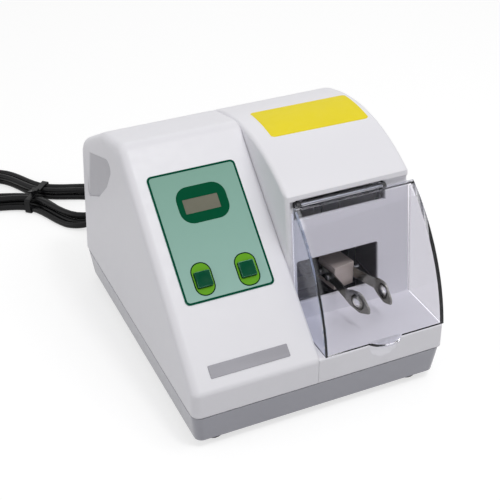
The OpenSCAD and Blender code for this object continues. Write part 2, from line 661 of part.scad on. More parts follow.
// Leaf-shaped jaw with a hole in a shallow round dish that bulges outwards
module jaw() {
  c = 12;
  leaf = rounded([[-1, -blade_h / 2], [5, -leaf_h / 2 + 1], [15, -leaf_h / 2 - 1], [leaf_l, -5.5], [leaf_l, -1],
    [15, leaf_h / 2 + 1], [5, leaf_h / 2 - 1], [-1, blade_h / 2]], [0, 5, 7, 1.5, 1.5, 7, 5, 0], 4);
  difference() {
    rotate([90, 0, -90]) translate([0, 0, -blade_t]) linear_extrude(blade_t) polygon(leaf);
    translate([-5, -c, 0]) rotate([0, 90, 0]) cylinder(r = dish_r, h = 20, $fn = 48);
  }
  // rings of the dish from its rim in to the hole
  dish = [for (i = [0:4]) let (q = dish_r + 0.02 - (dish_r - jaw_hole_r) * i / 4) [q, dish_d * (1 - pow(q / dish_r, 2))]];
  translate([0, -c, 0]) rotate([0, 90, 0]) rotate_extrude($fn = 48)
    polygon(concat([for (p = dish) p], [for (i = [4:-1:0]) dish[i] + [0, blade_t]]));
}
module left_fork_blade() color([0.6, 0.58, 0.55]) fork_blade(-1);
module right_fork_blade() color([0.6, 0.58, 0.55]) fork_blade(1);

module fork_screws() color("silver") on_fork() for (y = fork_screw_y) translate([0, -y, 0]) {
  side = block_w / 2 + blade_gap + blade_t + 1.1;
  along_x(-side - 0.1, side + 7) circle(r = fork_screw_r, $fn = 24);
  intersection() {
    along_x(-side - 2, -side) circle(r = 2.6, $fn = 32);
    translate([-side + 2.4, 0, 0]) sphere(r = 5, $fn = 48);
  }
  along_x(side, side + 2.4) circle(r = 2.8, $fn = 6);
}

module transformer() color([0.35, 0.33, 0.3]) translate([-half_w + 15, case_d - 110, foot_h + 3]) {
  cube([48, 40, 6]);
  translate([4, 0, 5.9]) cube([40, 40, 34]);
  translate([9, -7, 12]) cube([30, 54, 22]);
}

module power_board() color([0.72, 0.6, 0.3]) translate([-36, case_d - 112, foot_h + 3]) {
  for (x = [5, 85], y = [5, 65]) translate([x, y, 0]) cylinder(r = 3, h = 6.1, $fn = 24);
  translate([0, 0, 6]) cube([90, 70, 1.6]);
  translate([10, 12, 7.5]) cylinder(r = 8, h = 24, $fn = 40);
  translate([30, 8, 7.5]) cube([22, 16, 15]);
  translate([60, 10, 7.5]) cube([20, 14, 12]);
  translate([14, 36, 7.5]) cube([4, 26, 22]);
  translate([40, 50, 7.5]) cylinder(r = 5, h = 18, $fn = 32);
}

module power_switch_body() color([0.1, 0.1, 0.1]) on_rear(70, 62) difference() {
  union() {
    linear_extrude(2) box2(switch_w + 4, switch_h + 4, 1.5);
    translate([0, 0, -16]) linear_extrude(16.1) box2(switch_w, switch_h, 0.8);
  }
  difference() {
    translate([0, 0, -8]) linear_extrude(12) box2(rocker.x + 0.8, rocker.y + 1, 0.6);
    // pivot pins of the rocker
    for (s = [-1, 1]) translate([s * (rocker.x / 2 + 0.5), 0, rocker_z]) rotate([0, 90, 0])
      cylinder(r = pivot_r - run_fit, h = 5, center = true, $fn = 24);
  }
}
rocker = [14.4, 21];
rocker_a = 9;
rocker_z = -1;
pivot_r = 1.2;

module power_rocker() color([0.14, 0.14, 0.15]) on_rear(70, 62) translate([0, 0, rocker_z]) rotate([rocker_a, 0, 0])
  difference() {
    along_x(-rocker.x / 2, rocker.x / 2) polygon(rounded([[-rocker.y / 2 + 0.6, -2.6], [rocker.y / 2 - 0.6, -2.6],
      [rocker.y / 2 - 0.3, 4.4], [0, 3], [-rocker.y / 2 + 0.3, 4.4]], [1, 1, 1, 8, 1], 4));
    for (s = [-1, 1]) translate([s * rocker.x / 2, 0, 0]) rotate([0, 90, 0])
      cylinder(r = pivot_r, h = 5, center = true, $fn = 24);
  }

module fuse_holder() color([0.1, 0.1, 0.1]) on_rear(18, 58) difference() {
  union() {
    translate([0, 0, -24]) cylinder(r = fuse_r, h = 24.1, $fn = 40);
    cylinder(r = fuse_r + 2, h = 2.4, $fn = 48);
    translate([0, 0, 2.3]) cylinder(r = fuse_r - 0.6, h = 4.6, $fn = 32);
  }
  translate([-4, -0.7, 5.4]) cube([8, 1.4, 3]);
}

module strain_relief() color([0.06, 0.06, 0.06]) translate([relief_x, 0, relief_z]) rotate([-90, 0, 0])
  difference() {
    union() {
      translate([0, 0, case_d - 8]) cylinder(r = relief_r - 0.02, h = 10, $fn = 40);
      translate([0, 0, case_d]) cylinder(r = relief_r + 2.4, h = 2.6, $fn = 48);
      translate([0, 0, case_d + 2.5])
        cylinder(r1 = relief_r, r2 = cord_r + 1.1, h = relief_end - case_d - 2.5, $fn = 40);
    }
    for (i = [0:4]) translate([0, 0, case_d + 7 + i * 5.4]) difference() {
      cylinder(r = relief_r + 1, h = 2, $fn = 40);
      cylinder(r = cord_r + 0.75, h = 2, $fn = 32);
    }
  }

// A tube along points: a ring of n sides at each point, square to the line there
function ring_dir(p, i) = unit(p[min(i + 1, len(p) - 1)] - p[max(i - 1, 0)]);
function tube_points(p, r, n) = [for (i = [0:len(p) - 1])
  let (t = ring_dir(p, i), s = unit(cross(t, [0, 0, 1])), u = cross(s, t))
  for (k = [0:n - 1]) p[i] + r * (s * cos(360 * (k + 0.5) / n) + u * sin(360 * (k + 0.5) / n))];
function tube_faces(m, n) = concat(
  [for (k = [1:n - 2]) [0, k + 1, k]],
  [for (k = [1:n - 2]) [(m - 1) * n, (m - 1) * n + k, (m - 1) * n + k + 1]],
  [for (i = [0:m - 2], k = [0:n - 1]) let (a = i * n + k, b = i * n + (k + 1) % n)
    each [[a, b, a + n], [b, b + n, a + n]]]);
module tube(p, r, n) { polyhedron(tube_points(p, r, n), tube_faces(len(p), n)); }

// The hank: a dog-bone loop, drawn in at the waist, that spirals in, climbs along a run and spirals out
hank_c = [-118, 416];
hank_a = 138;
hank_run = 110;
hank_fold = 3 * cord_d;
hank_step = cord_d + 1.3;
hank_waist = 3.6;
layer = cord_d + 0.6;
tie_t = 1.2;
turns_in = 2;
turns_out = 1.56;
loop_rings = 24;
hank_start = -0.06;
function ease(x) = x * x * (3 - 2 * x);
// One turn runs waist, far fold, waist, near fold, waist. Folds take a third of the rings.
function hank_local(t) =
  let (f = t - floor(t), q = f * 4, side = f < 0.25 || f >= 0.75 ? 1 : -1,
    grow = hank_step * abs(t - turns_in), fold = hank_fold + grow, waist = hank_waist + grow,
    way = f < 0.5 ? -1 : 1, g = f < 0.5 ? q : q - 2,
    // g runs 0 to 2 over half a loop: 0 to run_share is a run, then the fold, then the run back
    on_fold = g > run_share && g < 2 - run_share,
    a = 180 * (g - run_share) / (2 - 2 * run_share),
    along = on_fold ? hank_run / 2 + fold * sin(a) : hank_run / 2 * (g <= run_share ? g : 2 - g) / run_share,
    across = on_fold ? fold * cos(a) * (f < 0.5 ? 1 : -1)
      : side * (waist + (fold - waist) * ease(min(1, along / (hank_run / 2)))),
    climb = ease(min(1, max(0, (t - turns_in + 0.13) / 0.26))),
    lift = tie_t * (1 - ease(min(1, along / (hank_run / 2)))))
  [way * along, across, cord_r + climb * layer + lift];
run_share = 0.56;
function hank_world(t) = let (p = hank_local(t), c = cos(hank_a), s = sin(hank_a))
  [hank_c.x - c * p.x - s * p.y, hank_c.y - s * p.x + c * p.y, p.z];
hank_end = turns_in + turns_out;
hank_t = concat([hank_start], [for (k = [ceil(hank_start * loop_rings):floor(hank_end * loop_rings)]) k / loop_rings],
  [hank_end]);
hank_path = [for (t = hank_t) hank_world(t)];
hank_n = len(hank_t) - 1;
hank_fine = [for (i = [0:4 * hank_n]) hank_world(hank_start + (hank_end - hank_start) * i / (4 * hank_n))];
// Least gap of the tube to itself, measured on points at least 3 diameters apart along it
hank_gap = min([for (i = [0:4:len(hank_fine) - 1], j = [i + 14:len(hank_fine) - 1])
  norm(hank_fine[i] - hank_fine[j])]) - cord_d;
hank_steps = [for (i = [0:len(hank_fine) - 2]) norm(hank_fine[i + 1] - hank_fine[i])];
hank_length = hank_steps * [for (s = hank_steps) 1];
echo(hank_gap = hank_gap, hank_length = hank_length, hank_from = hank_path[0], hank_to = hank_path[hank_n]);

lead_route = [[relief_x, relief_end, relief_z], [-45, 312, relief_z], [-45.7, 319.6, 44.5], [-47.5, 326.6, 41.3],
  [-50.1, 332.5, 36.9], [-53.4, 336.8, 31.7], [-57.2, 339.5, 26.4], [-61.6, 341, 21.2], [-66.6, 341.4, 16.5],
  [-72, 341.3, 12.8], [-77.4, 341.4, 10.2], [-82.8, 342.1, 8.2], [-88, 343.6, 6.8], [-93.2, 345.9, 5.6],
  [-98, 349.2, 4.7], [-102.5, 353.5, 3.9]];
lead_join = [-0.12, -0.095, -0.075];
tail_route = [[-57.3, 405.7, 10.4], [-50, 402.5, 9.6], [-43, 399.5, 8.6], [-35, 396, 8.6], [-27, 394, 10.5],
  [-19, 393, 12.6], [-12, 393, 13], [-5, 393, 13]];
plug_at = tail_route[len(tail_route) - 1];

module mains_lead() color([0.06, 0.06, 0.07])
  tube(concat(lead_route, [for (t = lead_join) hank_world(t)], [hank_path[0]]), cord_r, 8);
module cord_hank() color([0.06, 0.06, 0.07]) tube(hank_path, cord_r, 6);
module cord_tail() color([0.06, 0.06, 0.07])
  tube(concat([hank_path[hank_n], hank_world(hank_end + 0.03)], tail_route), cord_r, 8);

// Band that gathers the hank at its waist
module cord_tie() color([0.04, 0.04, 0.04]) translate([hank_c.x, hank_c.y, 0]) rotate([0, 0, hank_a]) {
  gap = 0.4;
  side_gap = 1;
  y0 = -hank_waist - 1.5 * hank_step - cord_r - side_gap;
  y1 = hank_waist + 2 * hank_step + cord_r + side_gap;
  z1 = tie_t + cord_d + layer + gap;
  along_x(-3, 3) difference() {
    polygon(rounded([[y0 - 1, 0], [y1 + 1, 0], [y1 + 1, z1 + 1], [y0 - 1, z1 + 1]], [3, 3, 3, 3], 4));
    polygon(rounded([[y0, tie_t - gap + 0.1], [y1, tie_t - gap + 0.1], [y1, z1], [y0, z1]], [2, 2, 2, 2], 4));
  }
  translate([-3.4, 2, z1 + 0.4]) cube([6.8, 6, 4]);
  translate([-1.6, 6, z1 + 2]) rotate([24, 0, 0]) cube([3.2, 13, 1.2]);
}

module plug_body() color([0.06, 0.06, 0.07]) translate(plug_at) {
  rotate([0, 90, 0]) cylinder(r1 = cord_r + 0.8, r2 = 5.6, h = 20.1, $fn = 40);
  intersection() {
    translate([0, 0, -plug_at.z]) linear_extrude(26) polygon(rounded([[20, -7], [30, -15], [54, -17], [54, 17],
      [30, 15], [20, 7]], [2, 12, 3, 3, 12, 2], 5));
    rotate([90, 0, 0]) linear_extrude(60, center = true) polygon(rounded([[20, -7], [32, -13], [54, -13], [54, 13],
      [32, 13], [20, 7]], [2, 12, 3, 3, 12, 2], 5));
  }
}

module plug_pins() color("silver") translate(plug_at + [54, 0, 0]) {
  for (s = [-1, 1]) translate([0, s * 6.9, 3.6]) rotate([s * 30, 0, 0]) translate([0, -0.8, -3.2]) cube([17, 1.6, 6.4]);
  translate([0, -0.8, -11.2]) cube([20, 1.6, 6.4]);
}

// The origin is the middle of the footprint, from the pull tab to the end of the strain relief
origin_y = (relief_end + tab_y) / 2;
module place() { translate([0, -origin_y, 0]) children(); }
place() base_tray();
place() upper_housing();
place() rubber_feet();
place() case_screws();
place() membrane_panel();
place() display_window();
place() lcd_module();
place() control_board();
place() board_screws();
place() tact_switches();
place() set_button();
place() start_button();
place() clear_cover();
place() hinge_pin();
place() hinge_blocks();
place() cover_switch();
place() drive_frame();
place() frame_isolators();
place() motor_stator();
place() motor_end_caps();
place() motor_rotor();
place() motor_shaft();
place() shaft_bearings();
place() skew_ball();
place() arm_bearing();
place() swing_arm();
place() arm_guide();
place() fork_block();
place() left_fork_blade();
place() right_fork_blade();
place() fork_screws();
place() transformer();
place() power_board();
place() power_switch_body();
place() power_rocker();
place() fuse_holder();
place() strain_relief();
place() mains_lead();
place() cord_hank();
place() cord_tail();
place() cord_tie();
place() plug_body();
place() plug_pins();
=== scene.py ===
# Dental amalgamator: looks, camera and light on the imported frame. Metres, with the frame's own origin.
import bpy, bmesh, math
from mathutils import Matrix, Vector


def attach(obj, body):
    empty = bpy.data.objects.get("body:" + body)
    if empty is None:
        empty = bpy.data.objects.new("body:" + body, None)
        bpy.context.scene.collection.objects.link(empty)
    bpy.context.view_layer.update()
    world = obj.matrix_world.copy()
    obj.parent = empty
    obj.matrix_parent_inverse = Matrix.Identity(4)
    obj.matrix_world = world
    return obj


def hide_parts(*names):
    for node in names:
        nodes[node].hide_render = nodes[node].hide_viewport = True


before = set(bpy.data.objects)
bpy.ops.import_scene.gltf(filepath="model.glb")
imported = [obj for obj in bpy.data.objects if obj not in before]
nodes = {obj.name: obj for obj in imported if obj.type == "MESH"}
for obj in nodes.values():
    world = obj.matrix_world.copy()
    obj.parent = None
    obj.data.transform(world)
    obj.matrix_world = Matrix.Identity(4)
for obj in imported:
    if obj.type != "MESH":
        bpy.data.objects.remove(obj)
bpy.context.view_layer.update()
scene = bpy.context.scene
scene.view_settings.view_transform = "Standard"

# Design millimetres. A pair is (y, z), and Y moves by SHIFT_Y into the frame
SHIFT_Y = -149.117
SLOPE, LIP_Z = math.radians(41.5), 56.0  # the control slope rises from the lip
HOOD_CENTRE, HOOD_R = (148, 41.2), 149.0
COVER_CENTRE, COVER_HINGE = (154, 32.8), (65.82, 156.85)
BACK_FOOT, BACK_LEAN = (52.9, 56.7), math.radians(7.3)  # back wall of the chamber
# Metres in the frame. A pair is (y, z)
JAW_HOLES = {"left": (-0.1237, 0.0818), "right": (-0.1188, 0.0818)}
CASE_HALF, SEAM_Z, SIDE_DRAFT = 0.110, 0.0338, 0.021  # above the seam the sides lean in, by the draft
SHARP = math.radians(31)  # edges that turn more than this stay sharp

# ---------------------------------------------------------------- camera
cam = bpy.data.objects.new("camera", bpy.data.cameras.new("camera"))
scene.collection.objects.link(cam)
cam.location = (-0.32938, -0.73087, 0.59889)
cam.rotation_euler = (math.radians(56.5), 0, math.radians(-24.56))
cam.data.lens = 79.32
cam.data.sensor_width = 36
cam.data.clip_start = 0.01
scene.camera = cam


# ---------------------------------------------------------------- shader helpers
def rgb(r, g, b):
    """8 bit sRGB as linear"""
    return tuple(c / 12.92 if c <= 0.04045 else ((c + 0.055) / 1.055) ** 2.4
                 for c in (r / 255, g / 255, b / 255)) + (1.0,)


def any_ray(tree, *kinds):
    """1 on a ray of one of these kinds"""
    path = tree.nodes.new("ShaderNodeLightPath")
    found = path.outputs[kinds[0]]
    for kind in kinds[1:]:
        n = tree.nodes.new("ShaderNodeMath")
        n.operation = "MAXIMUM"
        tree.links.new(found, n.inputs[0])
        tree.links.new(path.outputs[kind], n.inputs[1])
        found = n.outputs[0]
    return found


SEEN = ("Is Camera Ray", "Is Glossy Ray", "Is Transmission Ray")


class Shader:
    """A material and short calls that add nodes to it"""

    def __init__(self, name):
        self.m = bpy.data.materials.new(name)
        self.m.use_nodes = True
        self.t = self.m.node_tree
        self.t.nodes.clear()
        self.out = self.add("ShaderNodeOutputMaterial")
        self.bsdf = self.add("ShaderNodeBsdfPrincipled")
        self.link(self.bsdf.outputs[0], self.out.inputs[0])
        self.pos = self.add("ShaderNodeTexCoord").outputs["Object"]

    def add(self, kind, **props):
        n = self.t.nodes.new(kind)
        for k, v in props.items():
            setattr(n, k, v)
        return n

    def link(self, a, b):
        self.t.links.new(a, b)

    def put(self, socket, value):
        """Link or plain value into a socket"""
        if isinstance(value, bpy.types.NodeSocket):
            self.link(value, socket)
        elif value is not None:
            socket.default_value = value

    def axes(self, vector):
        n = self.add("ShaderNodeSeparateXYZ")
        self.link(vector, n.inputs[0])
        return n.outputs

    def math(self, op, a, b=None):
        n = self.add("ShaderNodeMath", operation=op)
        for s, v in zip(n.inputs, (a, b)):
            self.put(s, v)
        return n.outputs[0]

    def every(self, *factors):
        """Product of factors"""
        k = factors[0]
        for f in factors[1:]:
            k = self.math("MULTIPLY", k, f)
        return k

    def distance(self, y, z, centre):
        """Distance about an axis along X, metres"""
        dy, dz = self.math("SUBTRACT", y, centre[0]), self.math("SUBTRACT", z, centre[1])
        return self.math("SQRT", self.math("ADD", self.math("MULTIPLY", dy, dy), self.math("MULTIPLY", dz, dz)))

    def noise(self, scale, detail, rough, stretch=None):
        n = self.add("ShaderNodeTexNoise")
        n.inputs["Scale"].default_value = scale
        n.inputs["Detail"].default_value = detail
        n.inputs["Roughness"].default_value = rough
        p = self.pos
        if stretch:
            mp = self.add("ShaderNodeMapping")
            mp.inputs["Scale"].default_value = stretch
            self.link(p, mp.inputs["Vector"])
            p = mp.outputs[0]
        self.link(p, n.inputs["Vector"])
        return n.outputs["Fac"]

    def span(self, x, a0, a1, b0, b1):
        """x from the range a to the range b, held at its ends"""
        n = self.add("ShaderNodeMapRange")
        for s, v in zip(n.inputs, (x, a0, a1, b0, b1)):
            self.put(s, v)
        return n.outputs[0]

    def mix(self, fac, a, b):
        n = self.add("ShaderNodeMix", data_type="RGBA")
        self.put(n.inputs[0], fac)
        self.put(n.inputs[6], a)
        self.put(n.inputs[7], b)
        return n.outputs[2]

    def edges(self, radius):
        """1 on sharp edges, 0 on flats"""
        b = self.add("ShaderNodeBevel", samples=4)
        b.inputs["Radius"].default_value = radius
        g = self.add("ShaderNodeNewGeometry")
        dot = self.add("ShaderNodeVectorMath", operation="DOT_PRODUCT")
        self.link(b.outputs[0], dot.inputs[0])
        self.link(g.outputs["Normal"], dot.inputs[1])
        return self.span(self.math("SUBTRACT", 1.0, dot.outputs[1]), 0.02, 0.25, 0.0, 1.0)

    def repaint(self, paint):
        """Base colour as paint makes it from the present one"""
        base = self.bsdf.inputs["Base Color"]
        self.link(paint(base.links[0].from_socket), base)

    def shade_by_ray(self, chosen, first, second):
        """Output: first shader, and second where chosen is 1"""
        n = self.add("ShaderNodeMixShader")
        for s, v in zip(n.inputs, (chosen, first, second)):
            self.link(v, s)
        self.link(n.outputs[0], self.out.inputs[0])


UNEVEN = 0.06  # how far roughness strays each way


def finish(name, colour, rough, metallic=0.0, vary=0.05, tone=14.0, grain=900.0, bump=0.12, depth=0.0002,
           wear_and_glint=0.0, wear_and_glint_colour=None, bevel=0.0005, coat=0.0, stretch=None, spec=0.5, second=None, subsurface=0.0):
    """Moulded, painted or bare finish: broad colour drift, fine grain, uneven gloss, rounded edges, and a lighter
    colour on those edges that is wear on some finishes and a painted highlight on others
    """
    s = Shader(name)
    broad = s.noise(tone, 4, 0.6)
    fine = s.noise(grain, 3, 0.6, stretch)
    mid = s.noise(grain / 9, 4, 0.6, stretch)
    dark = tuple(c * (1 - vary) for c in colour[:3]) + (1,)
    light = tuple(min(1.0, c * (1 + vary)) for c in colour[:3]) + (1,)
    base = s.mix(s.span(broad, 0.3, 0.7, 0, 1), dark, light)
    base = s.mix(s.span(fine, 0.35, 0.7, 0.0, 0.25), base, second or dark)
    rr = s.span(mid, 0.3, 0.7, rough - UNEVEN, rough + UNEVEN)
    # lighter edges: wear on some finishes, a painted highlight on the keys and the spring blades
    if wear_and_glint:
        e = s.math("MULTIPLY", s.edges(bevel * 1.6), s.span(s.noise(90, 4, 0.7), 0.4, 0.62, 0.15, 1.0))
        base = s.mix(s.math("MULTIPLY", e, wear_and_glint), base, wear_and_glint_colour)
        rr = s.math("ADD", rr, s.math("MULTIPLY", e, 0.08 * wear_and_glint))
    s.link(base, s.bsdf.inputs["Base Color"])
    s.link(rr, s.bsdf.inputs["Roughness"])
    s.bsdf.inputs["Metallic"].default_value = metallic
    s.bsdf.inputs["Specular IOR Level"].default_value = spec
    s.bsdf.inputs["Coat Weight"].default_value = coat
    if subsurface:
        s.bsdf.inputs["Subsurface Weight"].default_value = subsurface
        s.bsdf.inputs["Subsurface Scale"].default_value = 0.002
    bu = s.add("ShaderNodeBump")
    bu.inputs["Strength"].default_value = bump
    bu.inputs["Distance"].default_value = depth
    s.link(fine, bu.inputs["Height"])
    bv = s.add("ShaderNodeBevel", samples=4)
    bv.inputs["Radius"].default_value = bevel
    s.link(bv.outputs[0], bu.inputs["Normal"])
    s.link(bu.outputs[0], s.bsdf.inputs["Normal"])
    return s


# ---------------------------------------------------------------- finishes
housing = finish("housing_finish", rgb(231, 230, 235), 0.42, vary=0.012, tone=9, grain=1500, bump=0.10,
                 depth=0.00012, bevel=0.0011, wear_and_glint=0.35, wear_and_glint_colour=rgb(240, 239, 242), spec=0.45)


def grip_texture_and_shade(s):
    """Coarser texture inside the two side recesses, and a little darker there as painted shade"""
    x, y, z = s.axes(s.pos)
    side = s.math("ABSOLUTE", x)
    wall = s.math("SUBTRACT", CASE_HALF, s.math("MULTIPLY", s.math("SUBTRACT", z, SEAM_Z), SIDE_DRAFT))
    normal = s.axes(s.add("ShaderNodeNewGeometry").outputs["True Normal"])
    inside = s.every(
        s.span(s.math("SUBTRACT", wall, side), 0.0003, 0.0007, 0, 1),
        s.span(side, 0.098, 0.0985, 0, 1),
        s.span(y, 0.022, 0.0235, 0, 1), s.span(y, 0.099, 0.1, 1, 0),
        s.span(z, 0.096, 0.0975, 0, 1), s.span(z, 0.166, 0.167, 1, 0),
        s.span(s.math("ABSOLUTE", normal[0]), 0.93, 0.96, 0, 1))
    cells = s.add("ShaderNodeTexVoronoi")
    cells.inputs["Scale"].default_value = 700
    s.link(s.pos, cells.inputs["Vector"])
    # painted shade: the recesses' colour is darkened
    s.repaint(lambda base: s.mix(s.math("MULTIPLY", inside, 0.75), base, rgb(176, 175, 181)))
    height = s.bsdf.inputs["Normal"].links[0].from_node.inputs["Height"]
    pits = s.math("MULTIPLY", s.math("MULTIPLY", cells.outputs["Distance"], inside), 2.5)
    s.link(s.math("ADD", height.links[0].from_socket, pits), height)


grip_texture_and_shade(housing)

base_grey = finish("base_finish", rgb(156, 156, 165), 0.42, vary=0.02, grain=1500, bump=0.10, bevel=0.0009, wear_and_glint=0.5,
                   wear_and_glint_colour=rgb(190, 190, 198), coat=0.45)
rubber = finish("foot_rubber", rgb(36, 36, 38), 0.72, vary=0.12, grain=1300, bump=0.25, bevel=0.0006, spec=0.3)
steel = finish("steel", rgb(186, 188, 192), 0.22, metallic=1.0, vary=0.05, grain=1600, bump=0.08, bevel=0.0003,
               wear_and_glint=0.4, wear_and_glint_colour=rgb(220, 221, 224))
steel.bsdf.inputs["Specular Tint"].default_value = rgb(120, 120, 124)


def spring_steel(side):
    """Spring steel of one blade, with a painted dark reflection in a ring where the dish turns over, a painted
    highlight around its hole, and painted highlights on its edges
    """
    s = finish(side + "_spring_steel", rgb(146, 145, 138), 0.2, metallic=1.0, vary=0.16, tone=60, grain=1500,
               bump=0.07, bevel=0.0006, wear_and_glint=1.0, wear_and_glint_colour=rgb(240, 238, 233), second=rgb(82, 80, 73))
    s.bsdf.inputs["Specular Tint"].default_value = rgb(90, 88, 84)
    _, y, z = s.axes(s.pos)
    r = s.distance(y, z, JAW_HOLES[side])
    dark_reflection_ring = s.every(s.span(r, 0.0046, 0.0056, 0, 0.85), s.span(r, 0.0064, 0.0070, 1, 0))
    highlight_ring = s.span(r, 0.0034, 0.0041, 0.9, 0)
    # painted reflection: a dark ring, and a painted highlight as a light ring round the hole
    s.repaint(lambda base: s.mix(highlight_ring, s.mix(dark_reflection_ring, base, rgb(48, 46, 43)), rgb(242, 240, 236)))
    return s


left_spring, right_spring = spring_steel("left"), spring_steel("right")
block = finish("fork_block", rgb(206, 194, 186), 0.44, metallic=0.35, vary=0.05, tone=50, grain=1300, bump=0.12,
               bevel=0.0006, wear_and_glint=0.6, wear_and_glint_colour=rgb(214, 206, 200))
arm = finish("arm_metal", rgb(112, 100, 92), 0.42, metallic=0.8, vary=0.12, tone=40, bump=0.2, bevel=0.0006,
             wear_and_glint=0.5, wear_and_glint_colour=rgb(170, 160, 150))
dark = finish("dark_plastic", rgb(38, 38, 42), 0.45, vary=0.1, grain=1400, bump=0.18, wear_and_glint=0.4,
              wear_and_glint_colour=rgb(80, 80, 86))
nylon = finish("nylon", rgb(222, 220, 212), 0.42, vary=0.03, grain=1200, bump=0.1, subsurface=0.15)
iron = finish("frame_iron", rgb(44, 44, 47), 0.5, metallic=0.25, vary=0.12, grain=1000, bump=0.3, bevel=0.0008,
              wear_and_glint=0.8, wear_and_glint_colour=rgb(120, 118, 116))
laminate = finish("laminate", rgb(128, 127, 130), 0.38, metallic=0.85, vary=0.08, grain=1800, bump=0.45,
                  stretch=(1.0, 0.02, 0.02), bevel=0.0004)
cap_metal = finish("cap_metal", rgb(150, 152, 156), 0.4, metallic=0.9, vary=0.08, grain=1200, bump=0.2, bevel=0.0006)
copper = finish("rotor_metal", rgb(168, 116, 76), 0.36, metallic=0.9, vary=0.12, grain=1500, bump=0.25,
                stretch=(1.0, 0.05, 0.05), bevel=0.0004)
board = finish("board", rgb(24, 98, 56), 0.34, vary=0.08, grain=1600, bump=0.1, bevel=0.0002,
               second=rgb(60, 140, 80))
brown_board = finish("power_board", rgb(168, 134, 78), 0.5, vary=0.1, grain=1300, bump=0.15, bevel=0.0003)
core = finish("transformer_core", rgb(96, 92, 88), 0.45, metallic=0.6, vary=0.12, grain=1500, bump=0.5,
              stretch=(0.02, 1.0, 0.02), bevel=0.0006)
cord_black = finish("cord_black", rgb(15, 15, 17), 0.3, vary=0.14, tone=25, bump=0.10, bevel=0.0004, spec=0.2)
brass = finish("plated_brass", rgb(202, 190, 160), 0.25, metallic=1.0, vary=0.05, grain=1600, bump=0.08, bevel=0.0004)
# The light rim on the key edges is a painted highlight
button_green = finish("button_green", rgb(0, 74, 48), 0.45, vary=0.06, grain=1200, bump=0.05, bevel=0.0007, wear_and_glint=1.0,
                      wear_and_glint_colour=rgb(150, 205, 185), spec=0.05)
lcd_grey = finish("display_module", rgb(70, 74, 70), 0.35, vary=0.06, grain=1500, bump=0.08, bevel=0.0004)


def printed(name, colour, rough=0.6, grain=1500, bump=0.03, spec=0.03, **more):
    """Printed sheet or label"""
    return finish(name, colour, rough, grain=grain, bump=bump, bevel=0.0002, spec=spec, **more)


display = printed("display", rgb(113, 112, 98), 0.5, vary=0.04, tone=60, grain=2600, second=rgb(102, 100, 88),
                  spec=0.1)
panel = printed("panel_print", rgb(138, 178, 164), vary=0.02, tone=30, grain=1900, spec=0.05)
panel_height = panel.span(panel.axes(panel.pos)[2], 0.098, 0.176, 0.0, 1.0)
panel.repaint(lambda base: panel.mix(0.82, base, panel.mix(panel_height, rgb(158, 194, 184), rgb(129, 169, 154))))
border_green = printed("border_green", rgb(0, 72, 52))
outline_green = printed("outline_green", rgb(10, 46, 24))
bezel_green = printed("bezel_green", rgb(0, 78, 50), vary=0.03, tone=45)
lime = printed("lime", rgb(104, 168, 40), vary=0.04, tone=60, spec=0.05)
plate_metal = finish("plate_metal", rgb(150, 149, 155), 0.5, metallic=0.3, vary=0.04, tone=40, grain=1500, bump=0.12,
                     stretch=(0.04, 1.0, 1.0), bevel=0.0003, wear_and_glint=0.4, wear_and_glint_colour=rgb(176, 176, 180), spec=0.2)
yellow = printed("label_yellow", rgb(234, 215, 34), 0.55, vary=0.02, tone=30, grain=1300, bump=0.04, spec=0.2)


def in_frame(centre):
    """Design (y, z) in millimetres to metres in the frame"""
    return (centre[0] + SHIFT_Y) / 1000, centre[1] / 1000


